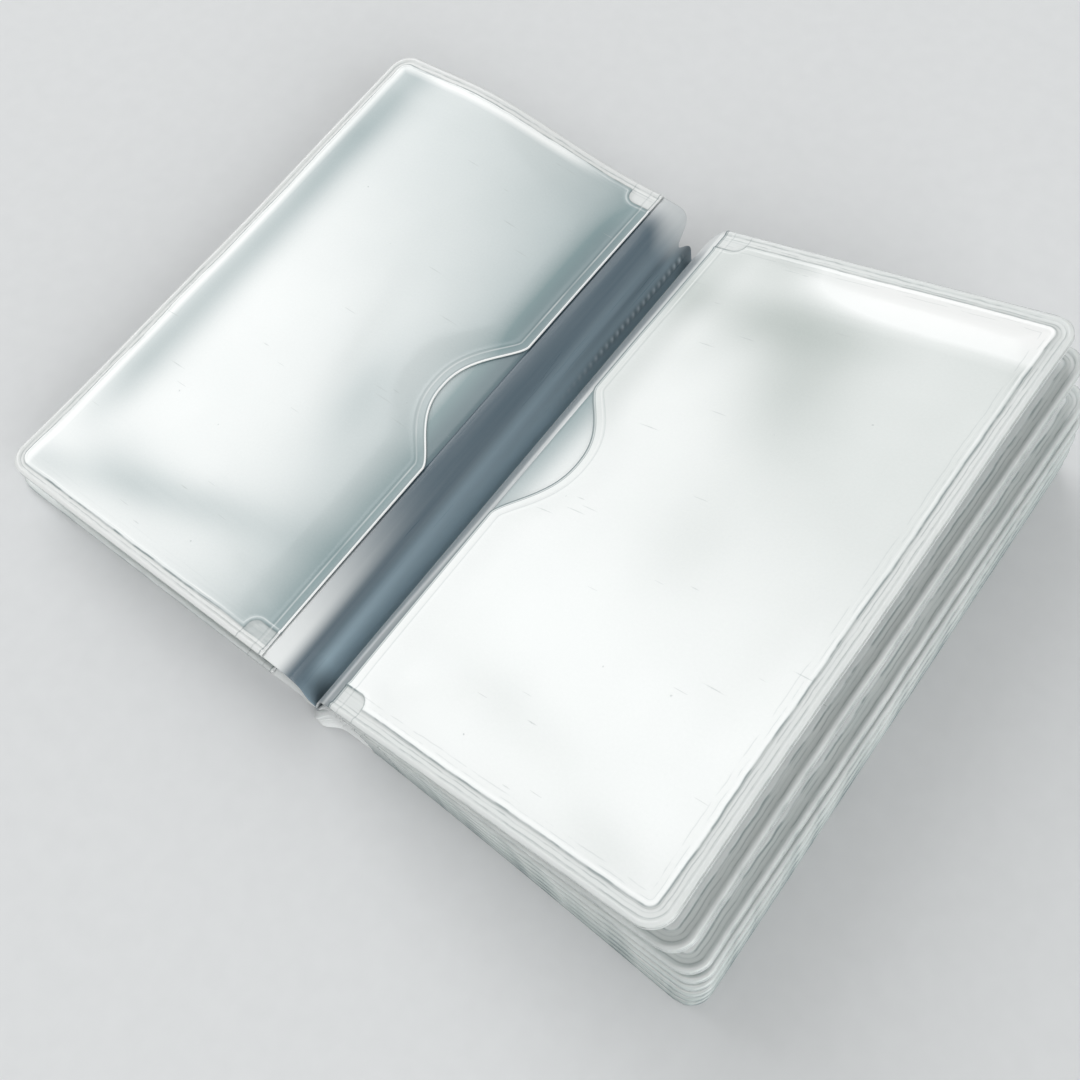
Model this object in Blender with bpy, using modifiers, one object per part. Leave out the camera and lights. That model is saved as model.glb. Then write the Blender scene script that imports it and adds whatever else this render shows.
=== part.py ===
import math

import bmesh
import bpy
import numpy as np

# Card pocket album: ten clear vinyl leaves welded along one spine, lying open after the second leaf.
# Millimetres in the constants, metres in the scene. X runs across the pages, Y along the spine, Z up.
mm = 0.001

# Leaf sizes
leafHeight = 98.0
panelWidth = 57.0
webLength = 10.0
leftWebLength = 11.7
cornerRadius = 3.6
weldBorder = 2.4
filmThickness = 0.2
weldGap = 0.05
pocketBulge = 0.45
mouthBulge = 0.12

# Thumb notch in each pocket mouth
notchWidth = 26.0
notchDepth = 6.8

# Spine weld strip, where the ten webs meet
spineHalfWidth = 0.7
spineTop = 3.0
spineEndInset = 5.0
seamLowest = 0.35
seamPitch = 0.25
webStart = 1.3
webEndGap = 0.2

# Each leaf: web angle and panel angle at rest, then both angles at the far end of its travel
# (degrees from +X, counted up and over to the left)
leafAngles = {
    1: (193.0, 180.0, 90.0, 36.0),
    2: (133.5, 182.4, 68.0, 29.5),
    3: (62.0, 19.5, 104.0, 157.0),
    4: (49.0, 16.0, 106.0, 146.0),
    5: (35.0, 11.0, 94.0, 124.5),
    6: (27.0, 8.3, 80.0, 102.0),
    7: (20.0, 6.0, 64.0, 79.0),
    8: (13.0, 3.9, 46.0, 55.0),
    9: (6.5, 1.9, 25.0, 30.0),
    10: (0.0, 0.0, 0.0, 0.0),
}
# Leaves that fan out, each hinged to the leaf below it
fannedLeaves = (4, 5, 6, 7, 8, 9)

# Height of each leaf's line in the welded seam, from the back leaf up
seamOrder = [10, 9, 8, 7, 6, 5, 4, 3, 2, 1]

# Pocket films that lie flat on the table
flatFilms = {(1, 1), (10, -1)}

# The upper left leaf curls up towards its far outer corner
curledLeaf = 2
curlHeight = 4.4


def clearScene():
    for item in list(bpy.data.objects):
        bpy.data.objects.remove(item, do_unlink=True)
    for group in list(bpy.data.collections):
        bpy.data.collections.remove(group)


def vinyl(name, colour, alpha):
    material = bpy.data.materials.new(name)
    material.use_nodes = True
    shader = material.node_tree.nodes["Principled BSDF"]
    shader.inputs["Base Color"].default_value = colour
    shader.inputs["Roughness"].default_value = 0.25
    shader.inputs["Alpha"].default_value = alpha
    return material


def direction(angle):
    return np.array([math.cos(math.radians(angle)), math.sin(math.radians(angle))])


# The seam stands a little left of the origin, so that the open album is centred on it
def seamX():
    return -webLength * (1 + math.cos(math.radians(leafAngles[1][0]))) / 2


def seamPoint(leaf):
    return np.array([seamX(), seamLowest + seamPitch * seamOrder.index(leaf)])


# The upper left leaf stands off the spine on a longer web
def webReach(leaf):
    return leftWebLength if leaf == 2 else webLength


def mouthPoint(leaf):
    return seamPoint(leaf) + webReach(leaf) * direction(leafAngles[leaf][0])


# The centre of the turn that carries a leaf's mouth line from its place at rest to the far end
# of its travel, while the web stays the same length.
def travelCentre(leaf):
    webRest, panelRest, webTurned, panelTurned = leafAngles[leaf]
    if webRest == webTurned:
        return mouthPoint(leaf)
    webHalf = math.radians(webTurned - webRest) / 2
    panelHalf = math.radians(panelTurned - panelRest) / 2
    reach = webReach(leaf) * (math.cos(webHalf) - math.sin(webHalf) / math.tan(panelHalf))
    return seamPoint(leaf) + reach * direction((webRest + webTurned) / 2)


# A leaf's whole travel as a turn matrix in the XZ plane
def travel(leaf):
    angle = math.radians(leafAngles[leaf][3] - leafAngles[leaf][1])
    spin = np.array([[math.cos(angle), -math.sin(angle)], [math.sin(angle), math.cos(angle)]])
    centre = travelCentre(leaf)
    matrix = np.eye(3)
    matrix[:2, :2] = spin
    matrix[:2, 2] = centre - spin @ centre
    return matrix


# The hinge line of a leaf: a fanned leaf's is the one point that stays still between it and the leaf below
def hingePoint(leaf):
    if leaf not in fannedLeaves:
        return travelCentre(leaf)
    between = np.linalg.inv(travel(leaf + 1)) @ travel(leaf)
    return np.linalg.solve(np.eye(2) - between[:2, :2], between[:2, 2])


# Distance from the mouth line to the outer edge at height v, with rounded outer corners
def outerEdge(v):
    past = max(0.0, abs(v) - (leafHeight / 2 - cornerRadius))
    return panelWidth - cornerRadius + math.sqrt(max(0.0, cornerRadius**2 - past**2))


# Distance that the thumb notch cuts into the mouth at height v: a half round with flared ends
def notchEdge(v):
    across = abs(v) / (notchWidth / 2)
    if across >= 1:
        return 0.0
    return notchDepth * (1 - across**2.3) ** 1.6


# Eased step from 0 at low to 1 at high
def ease(value, low, high):
    share = min(1.0, max(0.0, (value - low) / (high - low)))
    return share * share * (3 - 2 * share)


# Rise of a leaf off its plane: none at the mouth and the near end, most towards the far end
def curlRise(leaf, u, v):
    if leaf != curledLeaf:
        return 0.0
    share = u / panelWidth
    across = ease(share, 0.05, 0.68) * (1 - 0.2 * ease(share, 0.65, 1.0))
    return -curlHeight * across * (v / leafHeight + 0.5) ** 2


# One film over the panel as an open grid of points (rows along the spine, columns across),
# with its height above the backing given by lift(u share, v).
def filmPoints(rows, shares, startEdge, height):
    points = []
    for v in rows:
        first = startEdge(v)
        last = outerEdge(v)
        inner = last - weldBorder
        for share in shares:
            u = last if share == 1 else first + (inner - first) * share / 0.96
            points.append((u, v, height(share, v)))
    return points


# A flat grid moved to the film's points, turned about its hinge line and given the film's thickness
def addFilm(name, collection, material, points, rowCount, origin, angle):
    columnCount = len(points) // rowCount
    grid = bmesh.new()
    bmesh.ops.create_grid(grid, x_segments=columnCount - 1, y_segments=rowCount - 1, size=0.5)
    for corner in grid.verts:
        column = round((corner.co.x + 0.5) * (columnCount - 1))
        row = round((corner.co.y + 0.5) * (rowCount - 1))
        u, v, n = points[row * columnCount + column]
        corner.co = (u * mm, v * mm, n * mm)
    mesh = bpy.data.meshes.new(name)
    grid.to_mesh(mesh)
    grid.free()
    mesh.materials.append(material)
    item = bpy.data.objects.new(name, mesh)
    collection.objects.link(item)
    item.location = (origin[0] * mm, 0, origin[1] * mm)
    item.rotation_euler = (0, -math.radians(angle), 0)
    solidify = item.modifiers.new("film thickness", "SOLIDIFY")
    solidify.thickness = filmThickness * mm
    solidify.offset = 0
    return item


half = leafHeight / 2
pocketRows = [-half, -half + 0.8, -half + weldBorder, -half + cornerRadius, -30, -13, -11, -9, -7, -4.5, -2, 0]
pocketRows = pocketRows + [-v for v in reversed(pocketRows[:-1])]
plainRows = [-half, -half + 0.5, -half + 1.6, -half + cornerRadius]
plainRows = plainRows + [-v for v in reversed(plainRows)]
pocketShares = [0.0, 0.25, 0.6, 0.96, 1.0]
curledRows = [-half, -half + 0.8, -half + weldBorder, -half + cornerRadius, -38, -30, -23, -17, -13, -11, -9, -7]
curledRows = curledRows + [-4.5, -2]
curledRows = curledRows + [0] + [-v for v in reversed(curledRows)]
curledShares = [0.0, 0.06, 0.12, 0.18, 0.25, 0.32, 0.39, 0.46, 0.53, 0.6, 0.69, 0.78, 0.87, 0.96, 1.0]


# Pocket films rise from the weld on three sides and are fullest in the middle of the page
def pocketHeight(bulge):
    across = [mouthBulge / pocketBulge, 0.8, 1.0, 0.0, 0.0]

    def height(share, v):
        inside = half - weldBorder - abs(v)
        along = 0.0 if inside <= 0.01 else min(1.0, (inside / 22.0) ** 0.7)
        return bulge * np.interp(share, pocketShares, across) * along

    return height


def addLeaf(leaf, collection, film, pocketFilm):
    webRest, panelRest = leafAngles[leaf][:2]
    hinge = hingePoint(leaf)
    turn = math.radians(panelRest)
    offset = mouthPoint(leaf) - hinge
    # Mouth line seen from the hinge line, along and across the panel
    alongPanel = offset[0] * math.cos(turn) + offset[1] * math.sin(turn)
    acrossPanel = -offset[0] * math.sin(turn) + offset[1] * math.cos(turn)

    def placed(points):
        return [(alongPanel + u, v, acrossPanel + n + curlRise(leaf, u, v)) for u, v, n in points]

    name = f"leaf_{leaf:02d}"
    curled = leaf == curledLeaf
    rows = curledRows if curled else plainRows
    points = filmPoints(rows, curledShares if curled else [0.0, 1.0], lambda v: 0.0, lambda share, v: 0.0)
    addFilm(name + "_backing", collection, film, placed(points), len(rows), hinge, panelRest)
    rows = curledRows if curled else pocketRows
    shares = curledShares if curled else pocketShares
    for side, label in ((1, "front"), (-1, "back")):
        level = side * (filmThickness + weldGap)
        bulge = 0.0 if (leaf, side) in flatFilms else side * pocketBulge
        shape = pocketHeight(bulge)
        points = filmPoints(rows, shares, notchEdge, lambda share, v: level + shape(share, v))
        addFilm(f"{name}_{label}_pocket", collection, pocketFilm, placed(points), len(rows), hinge, panelRest)

    # The web between seam and mouth, its ends cut back in a round to clear the fold
    webRows = [-half, -half + 1.5, -half + spineEndInset]
    webRows = webRows + [-v for v in reversed(webRows)]
    points = []
    for v in webRows:
        past = max(0.0, abs(v) - (half - spineEndInset)) / spineEndInset
        start = webStart + 4.0 * (1 - math.sqrt(1 - past**2))
        points.append((start, v, 0.0))
        points.append((webReach(leaf) - webEndGap, v, 0.0))
    addFilm(name + "_web", collection, film, points, len(webRows), seamPoint(leaf), webRest)


def addSpine(collection, material):
    length = leafHeight - 2 * spineEndInset
    bpy.ops.mesh.primitive_cube_add(size=1, location=(seamX() * mm, 0, (spineTop / 2 + 0.02) * mm))
    spine = bpy.context.object
    spine.name = "spine_weld"
    spine.scale = (2 * spineHalfWidth * mm, length * mm, (spineTop - 0.04) * mm)
    bpy.ops.object.transform_apply(location=False, rotation=False, scale=True)
    bevel = spine.modifiers.new("rounded edges", "BEVEL")
    bevel.width = 0.3 * mm
    bevel.segments = 2
    spine.data.materials.append(material)
    for group in list(spine.users_collection):
        group.objects.unlink(spine)
    collection.objects.link(spine)


clearScene()
album = bpy.data.collections.new("card_pocket_album")
bpy.context.scene.collection.children.link(album)
backingVinyl = vinyl("backing vinyl", (0.80, 0.86, 0.86, 1), 0.6)
pocketVinyl = vinyl("pocket vinyl", (0.90, 0.95, 0.94, 1), 0.5)
weldVinyl = vinyl("welded vinyl", (0.62, 0.70, 0.72, 1), 0.9)
addSpine(album, weldVinyl)
for number in leafAngles:
    addLeaf(number, album, backingVinyl, pocketVinyl)
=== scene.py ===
import math

import bpy
import numpy as np
from mathutils import Matrix, Vector


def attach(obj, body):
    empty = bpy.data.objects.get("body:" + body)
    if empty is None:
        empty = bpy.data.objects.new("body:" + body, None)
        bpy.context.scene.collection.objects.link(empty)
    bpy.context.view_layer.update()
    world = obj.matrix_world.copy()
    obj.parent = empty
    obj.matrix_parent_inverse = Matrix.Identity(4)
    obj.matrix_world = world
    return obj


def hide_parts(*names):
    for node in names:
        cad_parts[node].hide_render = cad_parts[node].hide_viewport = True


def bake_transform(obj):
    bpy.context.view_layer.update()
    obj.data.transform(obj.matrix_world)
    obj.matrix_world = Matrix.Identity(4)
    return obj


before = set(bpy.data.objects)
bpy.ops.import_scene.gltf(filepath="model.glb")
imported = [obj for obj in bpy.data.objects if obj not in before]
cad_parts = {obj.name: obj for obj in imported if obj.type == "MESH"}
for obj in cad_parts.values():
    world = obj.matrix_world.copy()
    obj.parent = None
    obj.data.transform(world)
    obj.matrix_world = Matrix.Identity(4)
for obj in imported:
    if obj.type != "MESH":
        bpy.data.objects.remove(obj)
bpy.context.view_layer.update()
print("frame loaded:", len(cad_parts), "solids")

mm = 0.001

# Leaf sizes, in millimetres, as in the solids
leafSize = {
    "height": 98.0,
    "width": 57.0,
    "web": 10.0,
    "leftWeb": 11.7,
    "corner": 3.6,
    "seamX": -0.128,
    "seamLowest": 0.35,
    "seamPitch": 0.25,
    "notchWidth": 26.0,
    "notchDepth": 6.8,
    "film": 0.2,
    "webFilm": 0.14,
    "gap": 0.05,
}
half = leafSize["height"] / 2

# Web angle and panel angle of each leaf, degrees from +X, counted up and over to the left
leafAngles = {
    1: (193.0, 180.0),
    2: (133.5, 182.4),
    3: (62.0, 19.5),
    4: (49.0, 16.0),
    5: (35.0, 11.0),
    6: (27.0, 8.3),
    7: (20.0, 6.0),
    8: (13.0, 3.9),
    9: (6.5, 1.9),
    10: (0.0, 0.0),
}


def bodyOf(leaf):
    return "spine" if leaf == 10 else f"leaf_{leaf:02d}"


def heading(angle):
    return np.array([math.cos(math.radians(angle)), math.sin(math.radians(angle))])


def seamPoint(leaf):
    return np.array([leafSize["seamX"], leafSize["seamLowest"] + leafSize["seamPitch"] * (10 - leaf)])


def mouthPoint(leaf):
    reach = leafSize["leftWeb"] if leaf == 2 else leafSize["web"]
    return seamPoint(leaf) + reach * heading(leafAngles[leaf][0])


# Panel coordinates to the shared frame: u along the panel from its mouth, v along the spine, n off the panel
def onPanel(leaf, u, v, n):
    along = heading(leafAngles[leaf][1])
    start = mouthPoint(leaf)
    x = start[0] + u * along[0] - n * along[1]
    z = start[1] + u * along[1] + n * along[0]
    return np.stack([x, v + 0 * x, z], axis=-1) * mm


# Joins runs of evenly spaced values, given as (from, to, count), into one list of grid lines
def gridLines(*runs):
    return np.unique(np.concatenate([np.linspace(a, b, n) for a, b, n in runs]).round(5))


# Eased step from 0 at low to 1 at high
def ease(value, low, high):
    t = np.clip((value - low) / (high - low), 0, 1)
    return t * t * (3 - 2 * t)


# Bell of height 1 round a centre
def bell(value, centre, width):
    return np.exp(-(((value - centre) / width) ** 2))


# A bell that is long one way and narrow the other
def longBell(u, v, centre, turn, long, wide):
    c, s = math.cos(math.radians(turn)), math.sin(math.radians(turn))
    along = (u - centre[0]) * c + (v - centre[1]) * s
    across = (v - centre[1]) * c - (u - centre[0]) * s
    return bell(along, 0, long) * bell(across, 0, wide)


# Distance in from the leaf's outline, whose two outer corners are round; the mouth side has no edge
def outlineDistance(u, v):
    a = leafSize["width"] - u
    b = half - np.abs(v)
    r = leafSize["corner"]
    inCorner = (a < r) & (b < r)
    return np.where(inCorner, r - np.hypot(r - a, r - b), np.minimum(a, b))


# Reach of the outer edge at height v, from the same round corners
def outerReach(v):
    r = leafSize["corner"]
    past = np.maximum(0, np.abs(v) - (half - r))
    return leafSize["width"] - r + np.sqrt(np.maximum(0, r**2 - past**2))


# Depth of the thumb notch at height v: a half round with flared ends
def notchDepth(v):
    across = np.minimum(1, np.abs(v) / (leafSize["notchWidth"] / 2))
    return leafSize["notchDepth"] * (1 - across**2.3) ** 1.6


weldLook = {
    "border": {2: 1.7, 3: 2.2},  # width of the welded band, on the left page and on the others
    "earLong": 5.0,  # welded ear at each end of the mouth, across the page
    "earWide": 4.0,  # and along the spine
    "earRound": 1.8,
    "wobble": 0.16,  # how far the weld line strays
    "rimHeight": 0.26,
    "ridgeHeight": 0.16,
    "pillow": 0.75,
    "pillowReach": 5.0,  # distance in from the weld over which the pillow rises
    "mouthShare": 0.08,  # share of the pillow that is left at the mouth
    "mouthReach": 9.0,
    "uneven": 0.15,  # height and length of the pillow's slow waves
    "unevenLong": 55.0,
}


# Slow waves over a page: a few sines of unlike direction, length and phase, drawn from a seed
def slowWaves(seed, u, v, longest, count=5):
    rng = np.random.default_rng(seed)
    total = 0 * u
    turns = rng.uniform(0, math.pi, count)
    phases = rng.uniform(0, 6.28, count)
    lengths = longest * rng.uniform(0.45, 1, count)
    for turn, phase, length in zip(turns, phases, lengths):
        total = total + np.sin((u * math.cos(turn) + v * math.sin(turn)) * 6.28 / length + phase)
    return total / count


# Distance out from the welded ears at the two ends of the mouth: round-cornered rectangles
def earDistance(u, v):
    r = weldLook["earRound"]
    p = u - weldLook["earLong"] + r
    q = half - weldLook["earWide"] - np.abs(v) + r
    return np.hypot(np.maximum(p, 0), np.maximum(q, 0)) + np.minimum(np.maximum(p, q), 0) - r


def borderWidth(leaf):
    return weldLook["border"].get(leaf, weldLook["border"][3])


# Distance in from the weld line of a pocket: the outline pulled in by the border, less the two ears
def weldDistance(leaf, u, v, seed):
    stray = weldLook["wobble"] * slowWaves(seed + 7, u, v, 22)
    inside = outlineDistance(u, v) - borderWidth(leaf) + stray
    return np.minimum(inside, earDistance(u, v) + stray)


# How each leaf departs from flat and square, in millimetres: bow along the spine, curl of its far end,
# waves at the rim, spread of its outer edge and skew of its near outer corner
leafBend = {
    1: {"bow": 0.0, "curl": 0.0, "wave": 0.0, "spread": 0.0, "skew": 0.0},
    2: {"bow": 0.3, "curl": 4.4, "wave": 0.3, "spread": -1.6, "skew": 0.0},
    3: {"bow": 0.35, "curl": 0.0, "wave": 0.4, "spread": 1.0, "skew": 0.3},
    4: {"bow": 0.3, "curl": 0.0, "wave": 0.6, "spread": 1.0, "skew": 0.4},
    5: {"bow": 0.2, "curl": 0.0, "wave": 0.6, "spread": 0.9, "skew": 0.6},
    6: {"bow": 0.1, "curl": 0.0, "wave": 0.55, "spread": 0.6, "skew": 0.8},
    7: {"bow": 0.0, "curl": 0.0, "wave": 0.5, "spread": 0.3, "skew": 1.1},
    8: {"bow": 0.0, "curl": 0.0, "wave": 0.4, "spread": 0.1, "skew": 1.4},
    9: {"bow": 0.0, "curl": 0.0, "wave": 0.25, "spread": 0.0, "skew": 1.6},
    10: {"bow": 0.0, "curl": 0.0, "wave": 0.0, "spread": 0.0, "skew": 1.8},
}


# Lift of the whole leaf off its plane, towards the side that faces up
def leafLift(leaf, u, v):
    bend = leafBend[leaf]
    up = -1 if leaf <= 2 else 1
    share = u / leafSize["width"]
    bow = bend["bow"] * (1 - (v / half) ** 2)
    across = ease(share, 0.05, 0.68) * (1 - 0.2 * ease(share, 0.65, 1))
    curl = bend["curl"] * across * (v / leafSize["height"] + 0.5) ** 2
    wave = bend["wave"] * share * slowWaves(leaf, 0.4 * u, v, 60)
    return up * (bow + curl + wave)


# Panel point with the leaf's spread and skew, then its lift
def onLeaf(leaf, u, v, n):
    bend = leafBend[leaf]
    share = u / leafSize["width"]
    wide = u + bend["spread"] * share**2
    long = v - bend["skew"] * np.maximum(share, 0) ** 1.4 * ease(-v, -10, half)
    return onPanel(leaf, wide, long, n + leafLift(leaf, u, v))


# Soft creases in the two open pages: place (u, v), heading, half length, half width, height
pageCreases = {
    2: [
        (44.0, -32.0, 20, 14.0, 3.0, -0.35),
        (38.0, -37.0, 20, 14.0, 3.5, 0.3),
        (20.0, -3.0, 80, 16.0, 4.0, -0.4),
        (52.0, 30.0, 80, 14.0, 2.5, -0.35),
        (46.0, 41.0, 0, 10.0, 2.5, 0.3),
        (9.0, -41.0, 20, 5.0, 1.6, -0.25),
    ],
    3: [
        (30.0, 32.0, -8, 30.0, 7.0, -0.6),
        (44.0, 44.0, 0, 22.0, 4.0, 0.35),
        (50.0, -20.0, 85, 16.0, 3.0, -0.25),
        (12.0, -38.0, 30, 8.0, 3.0, 0.25),
        (30.0, -10.0, 60, 24.0, 7.0, 0.2),
    ],
}


# Sum of bells that are long one way and narrow the other
def creaseLift(leaf, u, v):
    total = 0 * u
    for cu, cv, turn, long, wide, height in pageCreases.get(leaf, []):
        total = total + height * longBell(u, v, (cu, cv), turn, long, wide)
    return total


# A grid of points as one smooth sheet: quads between neighbouring points, a UV map and values per point
def sheetObject(name, points, uv, values):
    rows, columns = points.shape[:2]
    index = np.arange(rows * columns).reshape(rows, columns)
    corners = [index[:-1, :-1], index[:-1, 1:], index[1:, 1:], index[1:, :-1]]
    quads = np.stack(corners, axis=-1).reshape(-1, 4)
    mesh = bpy.data.meshes.new(name)
    mesh.from_pydata(points.reshape(-1, 3), [], quads)
    layer = mesh.uv_layers.new(name="filmMap")
    layer.data.foreach_set("uv", uv.reshape(-1, 2)[quads.ravel()].astype(np.float32).ravel())
    for label, value in values.items():
        attribute = mesh.attributes.new(label, "FLOAT", "POINT")
        spread = np.broadcast_to(value, points.shape[:2]).astype(np.float32)
        attribute.data.foreach_set("value", spread.ravel())
    mesh.polygons.foreach_set("use_smooth", np.ones(len(mesh.polygons), bool))
    item = bpy.data.objects.new(name, mesh)
    bpy.context.scene.collection.objects.link(item)
    return item


# Film thickness to both sides of a sheet; a flatRim of 100 shades the rim as the sheet, 50 rounds it
def thicken(item, thickness, flatRim):
    solid = item.modifiers.new("film thickness", "SOLIDIFY")
    solid.thickness = thickness * mm
    solid.offset = 0
    item.modifiers.new("rim shading", "WEIGHTED_NORMAL").weight = flatRim


# Shader maths: a wrapped socket adds Math nodes to its tree when it is used in a sum
class Wire:
    def __init__(self, tree, socket):
        self.tree = tree
        self.socket = socket

    # Any node: type, settings that are set first, then values or wires by socket name or number
    def node(self, kind, settings=None, sockets=None, out=0):
        made = self.tree.nodes.new(kind)
        for key, value in (settings or {}).items():
            setattr(made, key, value)
        for key, value in (sockets or {}).items():
            if isinstance(value, Wire):
                self.tree.links.new(value.socket, made.inputs[key])
            else:
                made.inputs[key].default_value = value
        return Wire(self.tree, made.outputs[out])

    def math(self, operation, *values):
        return self.node("ShaderNodeMath", {"operation": operation}, dict(enumerate(values)))

    def __add__(self, other):
        return self.math("ADD", self, other)

    def __radd__(self, other):
        return self.math("ADD", other, self)

    def __sub__(self, other):
        return self.math("SUBTRACT", self, other)

    def __rsub__(self, other):
        return self.math("SUBTRACT", other, self)

    def __mul__(self, other):
        return self.math("MULTIPLY", self, other)

    def __rmul__(self, other):
        return self.math("MULTIPLY", other, self)

    # Eased step of this value between two limits
    def between(self, low, high):
        return self.node(
            "ShaderNodeMapRange",
            {"interpolation_type": "SMOOTHSTEP"},
            {"Value": self, "From Min": low, "From Max": high},
        )

    # Colour a where this value is 0, colour b where it is 1
    def mixed(self, a, b):
        return self.node("ShaderNodeMix", {"data_type": "RGBA"}, {0: self, 6: a, 7: b}, out=2)

    def named(self, label):
        return self.node("ShaderNodeAttribute", {"attribute_name": label}, out=2)

    def noise(self, place, scale, detail=3.0):
        return self.node("ShaderNodeTexNoise", {}, {"Vector": place, "Scale": scale, "Detail": detail})


def newMaterial(name):
    material = bpy.data.materials.new(name)
    material.use_nodes = True
    shader = material.node_tree.nodes["Principled BSDF"]
    start = Wire(material.node_tree, shader.outputs[0])
    return material, shader, start


def feed(shader, socket, wire):
    wire.tree.links.new(wire.socket, shader.inputs[socket])


# Bump from a height, then the settings that are the same all over a film
def finishShader(shader, start, look, height):
    bump = {"Strength": look["bump"], "Distance": look["bumpDepth"], "Height": height}
    feed(shader, "Normal", start.node("ShaderNodeBump", {}, bump))
    shader.inputs["IOR"].default_value = look["ior"]
    shader.inputs["Coat Weight"].default_value = look["coat"]
    shader.inputs["Coat Roughness"].default_value = look["coatRough"]


vinylLook = {
    "page": (0.93, 0.95, 0.945, 1),
    # blue-grey that the page's painted shade deepens to, mint on the right page's front pocket
    "paintedShadeBlue": (0.22, 0.31, 0.325, 1),
    "paintedShadeMint": (0.25, 0.31, 0.285, 1),
    "border": (0.93, 0.945, 0.935, 1),
    # grey painted shade of the stacked edges, and its darkest on the lowest leaves
    "stackEdgeShade": (0.78, 0.84, 0.83, 1),
    "stackLowShade": (0.40, 0.46, 0.45, 1),
    # near-white painted highlight where the page's shading goes below nothing
    "paintedHighlight": (0.985, 0.99, 0.985, 1),
    # darker painted shade that the page reaches by the gutter and in the thumb notches
    "gutter": (0.10, 0.15, 0.175, 1),
    "shine": (0.96, 0.97, 0.965, 1),
    "line": (0.24, 0.30, 0.31, 1),
    "mark": (0.42, 0.46, 0.46, 1),
    "roughPage": 0.34,
    "roughBorder": 0.16,
    "bump": 0.14,
    "bumpDepth": 0.0003,
    "ior": 1.5,
    "coat": 0.3,
    "coatRough": 0.12,
}

# Place and half width, in millimetres, of the lines along a film's rim, its weld, its ears and its mouth; the
# shine lines are painted highlights and the stack's dark lines painted shade
lineLook = {
    "rimShine": (0.35, 0.3),
    "rim": (0.9, 0.16),
    "inner": (1.55, 0.14),
    "innermost": (2.02, 0.11),
    "weld": (0.0, 0.18),
    "weldShine": (0.42, 0.22),
    "ear": (0.0, 0.16),
    "stackShine": ((0.38, 0.15), (1.22, 0.13), (2.75, 0.13), (3.4, 0.12)),
    "stackDark": ((3.05, 0.12), (3.8, 0.13)),
    "mouth": (0.42, 0.16),
    "mouthSeam": (1.9, 0.2),
    "mouthShine": (1.5, 0.22),
}

# Turn, scale across and along, size and share of the scratches and specks
markLook = {
    "long scratch": (0.1, (4.0, 64.0, 1.0), 0.08, 0.14),
    "short scratch": (-0.25, (8.0, 58.0, 1.0), 0.08, 0.06),
    "speck": (0.0, (10.0, 10.0, 1.0), 0.022, 0.1),
    "scratchDepth": 0.55,
    "speckDepth": 0.7,
}
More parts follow.
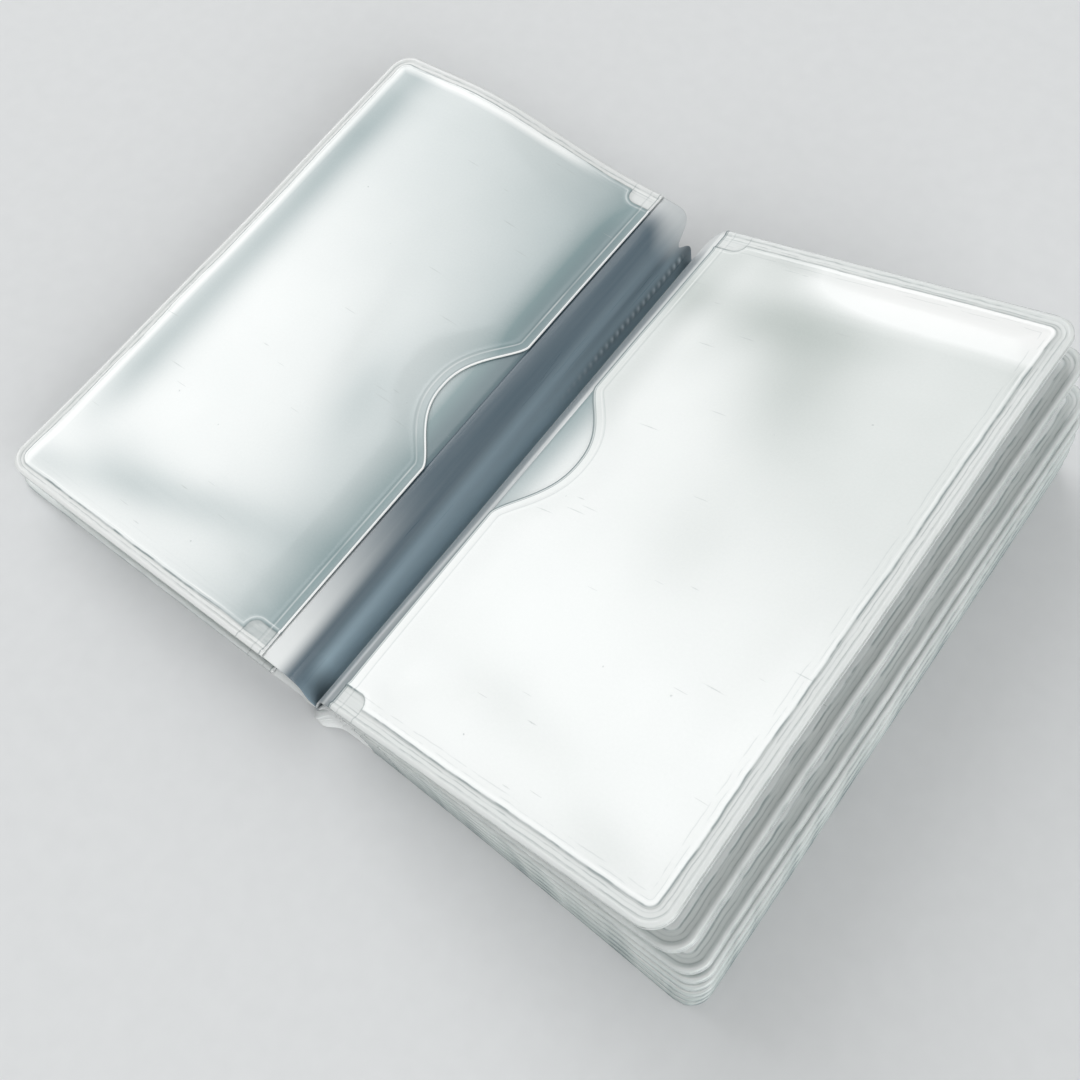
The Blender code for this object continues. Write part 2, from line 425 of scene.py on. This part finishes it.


# Frosted film: milky page that deepens with its painted shade and lightens to a painted highlight, clearer
# welded border with wandering grey lines and white lines of painted highlight, stacked edges greyed by
# painted shade, a mouth edge pale with a painted highlight (dark on the right page's front pocket), soft
# mottling, short scratches along the page and a few specks
def frostedFilm(name, look, alphaBorder):
    material, shader, start = newMaterial(name)
    place = start.node("ShaderNodeTexCoord", out=2)
    stray = start.noise(place, 24.0, 2.0) - 0.5
    edge = start.named("edge") + stray * 0.5
    weld = start.named("weld") + stray * 0.3
    lip = start.named("lip")
    # Painted light and shade of the two open pages, a slight random tone on the other leaves
    toneAndShade = start.named("toneAndShade")
    sharp = start.named("sharp")
    mottle = start.noise(place, 14.0, 3.0)
    cloud = start.noise(place, 5.0, 2.0)
    fine = start.noise(place, 260.0, 2.0)
    broken = start.noise(place, 26.0, 3.0).between(0.42, 0.6)
    hazy = start.noise(place, 11.0, 2.0).between(0.35, 0.65)

    def line(value, spot):
        centre, width = spot
        return value.between(centre - width, centre) * (1 - value.between(centre, centre + width))

    # The page deepens towards blue-grey with its painted shade, mint on the right page's front pocket
    deep = sharp.mixed(look["paintedShadeBlue"], look["paintedShadeMint"])
    page = (toneAndShade + cloud * 0.12 - 0.05 + (fine - 0.5) * 0.06).mixed(look["page"], deep)
    # Past 1 the painted shade deepens further to the gutter's dark blue
    page = (toneAndShade - 1).mixed(page, look["gutter"])
    # Below nothing the page lightens to a near-white painted highlight
    page = (0 - toneAndShade).mixed(page, look["paintedHighlight"])
    inBorder = 1 - weld.between(-0.15, 0.1)
    stack = start.named("stack")
    # Border: lighter in a random haze and along a painted highlight line on the rim
    border = (hazy * 0.5 + line(edge, lineLook["rimShine"])).mixed(look["border"], look["shine"])
    # Stacked edges: grey painted shade, more down the block, and darker still on the lowest leaves
    border = (stack * (0.55 + hazy * 0.45)).mixed(border, look["stackEdgeShade"])
    border = (stack - 1).mixed(border, look["stackLowShade"])
    ear = start.named("ear")
    inEar = (1 - ear.between(-0.15, 0.1)) * edge.between(1.3, 1.7)
    grooved = start.node("ShaderNodeMapping", {}, {"Vector": place, "Scale": (30.0, 160.0, 1.0)})
    grooves = start.noise(grooved, 1.0)
    # Painted shade inside the welded ears, broken into streaks
    border = (inEar * start.named("fill") * (0.4 + grooves * 1.2)).mixed(border, look["paintedShadeBlue"])
    colour = inBorder.mixed(page, border)
    rimLine = line(edge, lineLook["rim"]) * (0.42 - broken * 0.3)
    innerLine = line(edge, lineLook["inner"]) * (0.14 + broken * 0.3)
    innerLine = innerLine + line(edge, lineLook["innermost"]) * hazy * 0.35
    weldLine = line(weld, lineLook["weld"]) * (0.4 + broken * 0.4)
    earLine = line(ear, lineLook["ear"]) * (0.25 + broken * 0.35)
    rimFace = (1 - edge.between(-0.05, 0.16)) * (0.3 + broken * 0.3) * stack
    colour = (rimLine + innerLine + weldLine + earLine + rimFace).mixed(colour, look["line"])
    # Stacked edges: white lines of painted highlight, dark lines of painted shade between them
    first, second, third, fourth = [line(edge, spot) for spot in lineLook["stackShine"]]
    stackShine = first * 0.9 + second * (0.3 + hazy * 0.6) + third * 0.6 + fourth * hazy * 0.6
    first, second = [line(edge, spot) for spot in lineLook["stackDark"]]
    stackDark = first * broken * 0.5 + second * (1 - broken) * 0.5
    colour = (stackDark * stack).mixed(colour, look["line"])
    colour = (stackShine * stack).mixed(colour, look["shine"])
    colour = (line(weld, lineLook["weldShine"]) * (0.15 + hazy * 0.55)).mixed(colour, look["shine"])
    # Mouth: a dark line just inside the edge, partly the film's edge and partly a painted shadow, a faint
    # seam line further in, and a painted highlight line between them
    mouthLine = line(lip, lineLook["mouth"]) * 0.75 + line(lip, lineLook["mouthSeam"]) * 0.24
    colour = mouthLine.mixed(colour, look["line"])
    colour = (line(lip, lineLook["mouthShine"]) * (0.2 + hazy * 0.3)).mixed(colour, look["shine"])
    # The mouth's cut edge: a painted highlight, dark on the right page's front pocket
    lipColour = sharp.mixed(look["shine"], look["line"])
    colour = (1 - lip.between(0.2, 0.32)).mixed(colour, lipColour)

    # Marks: the middles of stretched, slightly bent cells, shown in a share of the cells
    def marks(turn, scale, size, share):
        turned = {"Vector": place, "Rotation": (0, 0, turn), "Scale": scale}
        spread = start.node("ShaderNodeMapping", {}, turned)
        bent = {0: 0.06, 4: spread, 5: start.noise(place, 90.0)}
        wavy = start.node("ShaderNodeMix", {"data_type": "VECTOR"}, bent, out=1)
        cells = {"Vector": wavy, "Scale": 1.0}
        near = start.node("ShaderNodeTexVoronoi", {"voronoi_dimensions": "2D"}, cells)
        tint = start.node("ShaderNodeTexVoronoi", {"voronoi_dimensions": "2D"}, cells, out=1)
        chosen = start.node("ShaderNodeSeparateColor", {}, {0: tint})
        sized = start.node("ShaderNodeSeparateColor", {}, {0: tint}, out=1) * 1.2 + 0.25
        shown = chosen.math("GREATER_THAN", chosen, 1 - share) * (1 - near.between(0, size))
        return shown.math("GREATER_THAN", sized * size, near) * shown * (0.3 + sized * 0.6)

    scratch = marks(*markLook["long scratch"]) + marks(*markLook["short scratch"])
    speck = marks(*markLook["speck"])
    marked = scratch * markLook["scratchDepth"] + speck * markLook["speckDepth"]
    colour = (marked * (1 - inBorder)).mixed(colour, look["mark"])
    feed(shader, "Base Color", colour)
    smoother = inBorder * (look["roughPage"] - look["roughBorder"])
    feed(shader, "Roughness", look["roughPage"] + (mottle - 0.5) * 0.14 - smoother)
    feed(shader, "Alpha", 1 - inBorder * (1 - alphaBorder))
    height = fine * 0.25 + mottle * 1.5 - scratch * 0.6 + (broken - 0.5) * inBorder * 0.8
    finishShader(shader, start, look, height)
    return material


gutterLook = {
    # pale film, which the bands of painted highlight reach
    "light": (0.92, 0.94, 0.94, 1),
    # painted shade of the gutter
    "dark": (0.07, 0.115, 0.15, 1),
    # painted blue glow of light through the film in the fold
    "fold": (0.66, 0.85, 0.96, 1),
    "dots": (0.78, 0.88, 0.94, 1),
    "streak": 0.08,
    "bump": 0.05,
    "bumpDepth": 0.0004,
    "ior": 1.5,
    "coat": 0.3,
    "coatRough": 0.1,
}


# Gutter film: blue-grey painted shade, lightened by bands of painted highlight and a painted blue glow in the
# fold, with soft streaks along the spine and pale weld dots
def gutterFilm(name, look, alpha):
    material, shader, start = newMaterial(name)
    place = start.node("ShaderNodeTexCoord", out=2)
    along = start.node("ShaderNodeMapping", {}, {"Vector": place, "Scale": (160.0, 4.0, 1.0)})
    streak = start.noise(along, 1.0, 3.0)
    # Painted light and shade of the gutter webs' bands, and the spine's level
    toneAndShade = start.named("toneAndShade")
    dots = start.named("dot")
    colour = (toneAndShade + (streak - 0.5) * look["streak"]).mixed(look["dark"], look["light"])
    colour = start.named("fold").mixed(colour, look["fold"])
    feed(shader, "Base Color", dots.mixed(colour, look["dots"]))
    feed(shader, "Roughness", 0.22 + streak * 0.16)
    shader.inputs["Alpha"].default_value = alpha
    finishShader(shader, start, look, streak)
    return material


pocketMaterial = frostedFilm("frosted pocket vinyl", vinylLook, 0.72)
backingMaterial = frostedFilm("frosted backing vinyl", vinylLook, 0.8)
webMaterial = gutterFilm("gutter vinyl", gutterLook, 0.92)
print("materials made")

fineLeaves = (2, 3)  # the two open pages, on a finer grid

# Grey patches of painted shade on the two open pages: darkness, place (u, v), heading, half length, half
# width
pageShades = {
    2: [
        (0.34, (29, -38.5), -16, 20, 3.6),
        (0.24, (16, -9), 80, 10, 4.5),
        (0.2, (52, -45), 0, 8, 3),
        (0.24, (40, -38.5), 0, 10, 5),
    ],
    3: [
        (0.42, (28, 25), -58, 18, 9),
        (0.13, (13, 27), 60, 9, 5),
        (0.13, (31, -4), 90, 10, 7),
        (0.1, (24, -36), -8, 16, 4),
        (0.14, (46, -44), -10, 7, 3.5),
        (0.2, (11, 44), 0, 9, 4),
    ],
}


# Sum of the page's patches of painted shade, each a bell that is long one way
def shadePatches(leaf, u, v):
    return sum(depth * longBell(u, v, *patch) for depth, *patch in pageShades[leaf])


# Painted shading of the left page: blue-grey painted shade at the gutter, most by the mouth's far half,
# softer along the outer edge and to the far end, and a painted highlight along the weld
def leftPaintedShading(u, v):
    gutter = np.exp(-np.maximum(u - 2, 0) / (11 + 3 * ease(v, -30, 20)))
    outer = 0.62 * bell(u, 51.0, 4.4) * ease(v, -42, -22) * (1 - 0.4 * ease(v, 30, 46))
    far = 0.32 * ease(v, -8, 47)
    mouth = 0.5 * bell(u, 2, 2.8) * ease(v, 4, 18) * (1 - 0.8 * ease(v, 36, 45))
    rim = 0.5 * np.maximum(ease(v, 45, 46.8) * ease(u, 8, 20), ease(u, 53, 54.8))
    return 0.92 * gutter + outer + far * (1 - gutter) + mouth - rim + shadePatches(2, u, v)


# Painted shading of the right page: grey painted shade behind a bright band of painted highlight at the far
# end, slight painted shade at the outer edge, the mouth and over the far half
def rightPaintedShading(u, v):
    far = 0.3 * bell(v, 35.0, 5.5) * (1 - 0.9 * ease(u, 30, 48))
    outer = 0.2 * ease(u, 32, 50) * ease(v, -30, 20) * (1 - ease(v, 38, 43))
    mouth = 0.2 * (1 - ease(u, 3, 10)) * ease(v, -12, 12)
    band = 1.2 * ease(v, 37, 45) * ease(u, 14, 34)
    return far + outer + mouth + 0.1 * ease(v, -28, 8) - band + shadePatches(3, u, v)


# Painted shading of the two open pages; on the other leaves a slight tone that wanders at random
def pageToneAndShading(leaf, u, v):
    if leaf == 2:
        return leftPaintedShading(u, v)
    if leaf == 3:
        return rightPaintedShading(u, v)
    return 0.08 + 0.08 * slowWaves(leaf + 40, u, v, 50)


# How strongly a leaf's rim shows the stacked edges' grey painted shade and their lines of painted highlight
# and shade: more and more down the right block, and past 1 a darker painted shade on the lowest leaves
def stackShare(leaf):
    return {1: 0.7, 2: 0.1}.get(leaf, 0.4 + 0.16 * (leaf - 3))


def mirrored(lines):
    return np.concatenate([-lines[:0:-1], lines])


# Shading of the films' rims, by slot
rimShading = {"pocket_vinyl": 50, "backing_vinyl": 100}


def finishFilm(item, leaf, node, material, slot):
    item.data.materials.append(material)
    thicken(item, leafSize["film"], rimShading[slot])
    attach(item, bodyOf(leaf))
    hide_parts(node)


# A pocket film: rises from the weld line on three sides, open at the mouth with its thumb notch
def pocketFilm(leaf, side):
    k = 2 if leaf in fineLeaves else 1
    width = leafSize["width"]
    s = gridLines((0, 3, 9 * k), (3, 8, 6 * k), (8, 50, 16 * k), (50, 53, 3 * k), (53, 57, 15 * k)) / width
    v = mirrored(gridLines((0, 14, 14 * k), (14, 40, 9 * k), (40, 44, 4 * k), (44, 49, 17 * k)))
    v, s = np.meshgrid(v, s, indexing="ij")
    mouth = notchDepth(v)
    u = mouth + (outerReach(v) - mouth) * s
    seed = 100 * leaf + 10 * (side + 1)
    edge = outlineDistance(u, v)
    weld = weldDistance(leaf, u, v, seed)
    slope = np.gradient(mouth[:, 0], v[:, 0])[:, None]
    lip = (u - mouth) / np.sqrt(1 + slope**2)
    atMouth = weldLook["mouthShare"]
    share = atMouth + (1 - atMouth) * ease(u - mouth, 0, weldLook["mouthReach"])
    pillow = weldLook["pillow"] * (1 - np.exp(-np.maximum(weld, 0) / weldLook["pillowReach"]))
    uneven = weldLook["uneven"] * slowWaves(seed, u, v, weldLook["unevenLong"]) * ease(weld, 1, 8)
    pillow = (pillow + uneven) * share
    if (leaf == 2 and side == -1) or (leaf == 3 and side == 1):
        pillow = pillow + creaseLift(leaf, u, v) * ease(weld, 0, 4)
    if leaf == 1 or (leaf, side) == (10, -1):
        pillow = 0 * pillow
    rim = weldLook["rimHeight"] * bell(edge, 0.5, 0.36)
    ridge = bell(weld, 0.15, 0.28) + 0.3 * bell(lip, 1.9, 0.35) * ease(weld, 0, 1)
    ridge = weldLook["ridgeHeight"] * ridge
    lift = leafSize["film"] + leafSize["gap"] + rim + ridge + np.maximum(pillow, 0)
    points = onLeaf(leaf, u, v, side * lift)
    uv = np.stack([u / 100, v / 100 + 0.5], axis=-1)
    node = f"leaf_{leaf:02d}_front_pocket" if side == 1 else f"leaf_{leaf:02d}_back_pocket"
    # The right page's front pocket takes a mint painted shade and a dark mouth edge
    sharp = 1.0 if (leaf, side) == (3, 1) else 0.0
    # Painted shade in the welded ears, most at the near end of the left page
    fill = np.where(v < 0, 0.4, 0.08) if leaf == 2 else 0.06
    values = {"edge": edge, "weld": weld, "lip": lip, "toneAndShade": pageToneAndShading(leaf, u, v), "sharp": sharp}
    values.update({"ear": earDistance(u, v), "fill": fill, "stack": stackShare(leaf)})
    item = sheetObject(node + "_film", points, uv, values)
    finishFilm(item, leaf, node, pocketMaterial, "pocket_vinyl")


# Painted shade of the two open backings in their thumb notches, darkest at the mouth, and how far in it
# reaches
mouthShade = {2: (0.82, 7.0), 3: (0.65, 6.0)}


# The backing film between the two pockets, out to the same rim
def backingFilm(leaf):
    s = gridLines((0, 0.12, 8), (0.12, 0.9, 14), (0.9, 1, 12))
    v = mirrored(gridLines((0, 44, 20), (44, 49, 12)))
    v, s = np.meshgrid(v, s, indexing="ij")
    u = outerReach(v) * s
    edge = outlineDistance(u, v)
    points = onLeaf(leaf, u, v, 0 * u)
    uv = np.stack([u / 100, v / 100 + 0.5], axis=-1)
    node = f"leaf_{leaf:02d}_backing"
    shade, reach = mouthShade.get(leaf, (0, 1))
    toneAndShade = pageToneAndShading(leaf, u, v) + shade * (1 - ease(u, 0, reach))
    values = {"edge": edge, "weld": edge - borderWidth(leaf), "lip": 9.0, "toneAndShade": toneAndShade, "sharp": 0.0}
    values.update({"ear": 9.0, "fill": 0.0, "stack": stackShare(leaf)})
    item = sheetObject(node + "_film", points, uv, values)
    finishFilm(item, leaf, node, backingMaterial, "backing_vinyl")


for leaf in leafAngles:
    backingFilm(leaf)
    pocketFilm(leaf, 1)
    pocketFilm(leaf, -1)
print("leaves made")

# Start angle of each web at the seam and the pulls of its curve at the seam and at the mouth
webBend = {
    1: (205.0, 3.0, 3.5),
    2: (112.0, 6.0, 7.5),
    3: (78.0, 4.5, 2.5),
    4: (62.0, 4.0, 3.5),
    5: (46.0, 3.5, 3.5),
    6: (36.0, 3.5, 3.5),
    7: (27.0, 3.5, 3.5),
    8: (17.0, 3.5, 3.5),
    9: (8.5, 3.5, 3.5),
    10: (0.0, 3.5, 3.5),
}

# Ends of the webs, in millimetres: round bite at the far end, small tab at the near end
webEnds = {
    "farInset": 1.4,
    "bite": 3.4,
    "bitePlace": 0.4,  # share of the web's curve
    "biteWide": 0.14,
    "tab": 1.5,  # on leaves 5 to 10
    "smallTab": 0.3,
    "tabPlace": 0.14,
    "tabWide": 0.2,
}

# Fused spine and its weld dots, in millimetres
spineLook = {
    "dotPitch": 1.45,
    "dotLong": 0.74,
    "dotWide": 0.46,
    "dotShare": 0.2,  # share of the left web's curve
    "dotHeight": 0.1,
    "dotRow": 0.09,  # half width of the darker row under the dots
    "halfWide": 0.62,
    "middle": 1.5,
    "halfTall": 1.45,
    "nearEnd": -49.5,
    "farEnd": 44.0,
    "endRound": 1.0,
    "pinch": 0.12,
    "toneAndShade": 0.24,
}


# Web curve in the XZ plane: a cubic from the seam to the mouth that leaves the panel without a crease
def webCurve(leaf, q):
    angle, pullSeam, pullMouth = webBend[leaf]
    a = seamPoint(leaf)
    d = mouthPoint(leaf)
    b = a + pullSeam * heading(angle)
    c = d - pullMouth * heading(leafAngles[leaf][1])
    q = np.asarray(q)[..., None]
    return a * (1 - q) ** 3 + 3 * b * q * (1 - q) ** 2 + 3 * c * q**2 * (1 - q) + d * q**3


# Far end of a web at share q of its curve: full at the mouth, then a round bite that ends short of the seam
def webFar(q):
    inset = webEnds["farInset"] * (2 - ease(q, 0.45, 0.8) - ease(q, 0.0, 0.3))
    return half - inset - webEnds["bite"] * bell(q, webEnds["bitePlace"], webEnds["biteWide"])


# Near end: square, with a small tab by the seam on the lower leaves
def webNear(leaf, q):
    tab = webEnds["tab"] if leaf >= 5 else webEnds["smallTab"]
    return half + tab * bell(q, webEnds["tabPlace"], webEnds["tabWide"])


# Bodies that a web passes from the spine to its leaf: right leaves lift with all that lie below them
def webChain(leaf):
    if leaf <= 2:
        return ["spine", bodyOf(leaf)]
    if leaf == 10:
        return ["spine"]
    return ["spine"] + [bodyOf(k) for k in range(9, leaf - 1, -1)]


# Where along its curve a web passes from body to body: most bends at the seam, the rest by the mouth
def webShares(strips):
    if strips < 3:
        return np.linspace(0, 1, strips + 1)
    return np.concatenate([[0], np.linspace(0.58, 0.84, strips - 1), [1]])


# Paleness of the gutter film: bands of painted highlight and painted shade along the spine that change from
# the near end to the far end
def gutterPaintedShading(leaf, q, v):
    far = ease(v, 41, 46)
    near = ease(-v, 10, 49)
    if leaf == 2:
        shine = 0.92 * ease(q, 0.66, 0.88) * near**1.3
        pale = 0.62 * ease(v, 38 + 4 * ease(q, 0.7, 0.95), 48) * ease(q, 0.2, 0.5)
        return 0.03 + shine + pale
    if leaf == 3:
        strip = 0.42 * bell(q, 0.8 + 0.13 * ease(v, -44, -8), 0.06)
        lip = 0.46 * ease(q, 0.84, 0.93) * ease(v, -14, 6)
        return 0.3 + 0.26 * (1 - ease(q, 0.3, 0.75)) + np.maximum(strip, lip) + 0.5 * far
    return 0.36 + 0.3 * np.maximum(ease(q, 0.5, 1.0), near) + 0.35 * ease(-v, 45.5, 48.5)


# Blue glow of the left web: in the fold and along a streak that drifts outwards, none at the two ends
def foldGlow(q, v):
    streak = (0.3 - 0.22 * v / half) * bell(q, 0.5 + 0.12 * v / half, 0.14)
    ends = (1 - 0.8 * ease(-v, 43, 48)) * (1 - 0.75 * ease(v, 40, 46))
    row = 1 - 0.6 * bell(q, spineLook["dotShare"], spineLook["dotRow"]) * ease(v, 4, 26)
    return (1 - ease(q, 0.12, 0.5) + streak) * ends * row


# Weld dots along the seam: a row of short bells
def weldDots(q, v):
    pitch = spineLook["dotPitch"]
    step = (v / pitch - np.round(v / pitch)) * pitch
    row = bell(q * leafSize["leftWeb"], spineLook["dotShare"] * leafSize["leftWeb"], spineLook["dotWide"])
    return row * bell(step, 0, spineLook["dotLong"] / 2) * ease(v, 4, 26) * (1 - ease(v, 44, 45))


# A web as one sheet, or as strips along the chain of bodies: its curve carried from the near to the far end
def webFilms(leaf):
    chain = webChain(leaf)
    strips = max(1, len(chain) - 1)
    shares = webShares(strips)
    rows = 560 if leaf == 2 else 90
    for number in range(strips):
        columns = max(4, round(48 * (shares[number + 1] - shares[number])))
        q = np.linspace(shares[number], shares[number + 1], columns)
        t, q = np.meshgrid(np.linspace(-1, 1, rows), q, indexing="ij")
        path = webCurve(leaf, q)
        v = np.where(t > 0, webFar(q), webNear(leaf, q)) * t
        dots = weldDots(q, v) if leaf == 2 else 0 * q
        along = heading(leafAngles[leaf][1])
        level = (leafSize["film"] - leafSize["webFilm"]) / 2  # brings the web's top to the backing's top
        flush = (-level if leaf <= 2 else level) * ease(q, 0.85, 1)
        ripple = leafLift(leaf, 0 * q, v) * ease(q, 0.3, 1) + flush
        x = path[..., 0] - ripple * along[1] + spineLook["dotHeight"] * dots
        z = path[..., 1] + ripple * along[0] + spineLook["dotHeight"] * dots * 0.5
        points = np.stack([x, v, z], axis=-1) * mm
        uv = np.stack([q * 0.1, v / 100 + 0.5], axis=-1)
        suffix = "" if strips == 1 else f"_{number + 1}"
        fold = foldGlow(q, v) if leaf == 2 else 0.0
        values = {"toneAndShade": gutterPaintedShading(leaf, q, v), "dot": dots, "fold": fold}
        item = sheetObject(f"leaf_{leaf:02d}_web_film{suffix}", points, uv, values)
        item.data.materials.append(webMaterial)
        thicken(item, leafSize["webFilm"], rimShading["backing_vinyl"])
        if len(chain) == 1:
            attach(item, "spine")
        else:
            turns = (0.2, 0.75) if leaf == 2 else shares[number : number + 2]
            first, last = webCurve(leaf, turns[0]), webCurve(leaf, turns[1])
            start = (first[0] * mm, 0, first[1] * mm)
            end = (last[0] * mm, 0, last[1] * mm)
            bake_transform(item)
        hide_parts(f"leaf_{leaf:02d}_web")


for leaf in leafAngles:
    webFilms(leaf)
print("webs made")


# Fused spine: a rounded upright profile carried along the seam, pinched at the pitch of the weld dots,
# closed at its ends
def spineWeld():
    near, far, cap = spineLook["nearEnd"], spineLook["farEnd"], spineLook["endRound"]
    turn, v = np.meshgrid(np.linspace(0, 2 * math.pi, 33), np.linspace(near, far, 440), indexing="ij")
    ends = np.maximum(0, np.maximum(v - far + cap, near + cap - v)) / cap
    taper = np.sqrt(np.maximum(0, 1 - ends**2))
    wave = np.cos(2 * math.pi * v / spineLook["dotPitch"])
    squared = [np.sign(side(turn)) * np.abs(side(turn)) ** 0.7 * taper for side in (np.cos, np.sin)]
    across = spineLook["halfWide"] * squared[0] * (1 + spineLook["pinch"] * wave)
    up = spineLook["middle"] + spineLook["halfTall"] * squared[1]
    points = np.stack([leafSize["seamX"] + across, v, up], axis=-1) * mm
    uv = np.stack([turn / 60, v / 100 + 0.5], axis=-1)
    # Paler on the swells and darker in the pinches: painted shade
    values = {"toneAndShade": spineLook["toneAndShade"] + 0.08 * wave, "dot": 0.0, "fold": 0.0}
    item = sheetObject("spine_weld_strip", points, uv, values)
    item.data.materials.append(webMaterial)
    item.modifiers.new("closed seam", "WELD").merge_threshold = 0.001 * mm
    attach(item, "spine")
    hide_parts("spine_weld")


spineWeld()

stageLook = {
    "dark": (0.70, 0.71, 0.72, 1),
    "light": (0.74, 0.75, 0.76, 1),
    "grain": 300.0,
    "rough": 0.8,
    "size": 6.0,
    "drop": 0.0003,
    "room": (0.90, 0.915, 0.905, 1),
    "roomLight": 0.5,
}


# Plain floor: a flat square just under the album
def studioFloor():
    t = np.linspace(-1, 1, 3)
    x, y = np.meshgrid(t * stageLook["size"] / 2, t * stageLook["size"] / 2)
    points = np.stack([x, y, 0 * x - stageLook["drop"]], axis=-1)
    floor = sheetObject("studioFloor", points, np.stack([x, y], axis=-1), {})
    material, shader, start = newMaterial("pale floor")
    place = start.node("ShaderNodeTexCoord", out=3)
    grain = start.noise(place, stageLook["grain"], 2.0)
    feed(shader, "Base Color", grain.mixed(stageLook["dark"], stageLook["light"]))
    shader.inputs["Roughness"].default_value = stageLook["rough"]
    floor.data.materials.append(material)


studioFloor()

lampSet = {
    "window": {"place": (-1.36, 0.54, 1.12), "size": 1.7, "watts": 20.8},
    "right fill": {"place": (1.24, -0.60, 0.52), "size": 1.4, "watts": 17.6},
}


def addLamp(name, place, size, watts):
    lamp = bpy.data.lights.new(name, "AREA")
    lamp.shape = "SQUARE"
    lamp.size = size
    lamp.energy = watts
    item = bpy.data.objects.new(name, lamp)
    bpy.context.scene.collection.objects.link(item)
    item.location = place
    item.rotation_euler = (-Vector(place)).to_track_quat("-Z", "Y").to_euler()


for name, values in lampSet.items():
    addLamp(name, **values)

world = bpy.data.worlds.new("soft room")
bpy.context.scene.world = world
world.use_nodes = True
sky = world.node_tree.nodes["Background"]
sky.inputs["Color"].default_value = stageLook["room"]
sky.inputs["Strength"].default_value = stageLook["roomLight"]

cameraSet = {
    "place": (66.6, -64.9, 171.7),
    "right": (0.79379, 0.60453, -0.06663),
    "down": (0.52742, -0.73879, -0.41954),
    "ahead": (-0.30285, 0.29788, -0.90529),
    "focalPixels": 1234.0,
    "framePixels": 1080,
    "sensor": 36.0,
}


# Camera from its three directions: columns of the turn are right, up and back
def addCamera():
    camera = bpy.data.cameras.new("camera")
    item = bpy.data.objects.new("camera", camera)
    bpy.context.scene.collection.objects.link(item)
    right = Vector(cameraSet["right"])
    up = -Vector(cameraSet["down"])
    back = -Vector(cameraSet["ahead"])
    turn = Matrix((right, up, back)).transposed().to_4x4()
    item.matrix_world = Matrix.Translation(Vector(cameraSet["place"]) * mm) @ turn
    camera.sensor_width = cameraSet["sensor"]
    camera.lens = cameraSet["focalPixels"] * cameraSet["sensor"] / cameraSet["framePixels"]
    camera.clip_start = 0.01
    bpy.context.scene.camera = item


addCamera()
bpy.context.scene.view_settings.view_transform = "Standard"
print("stage set")
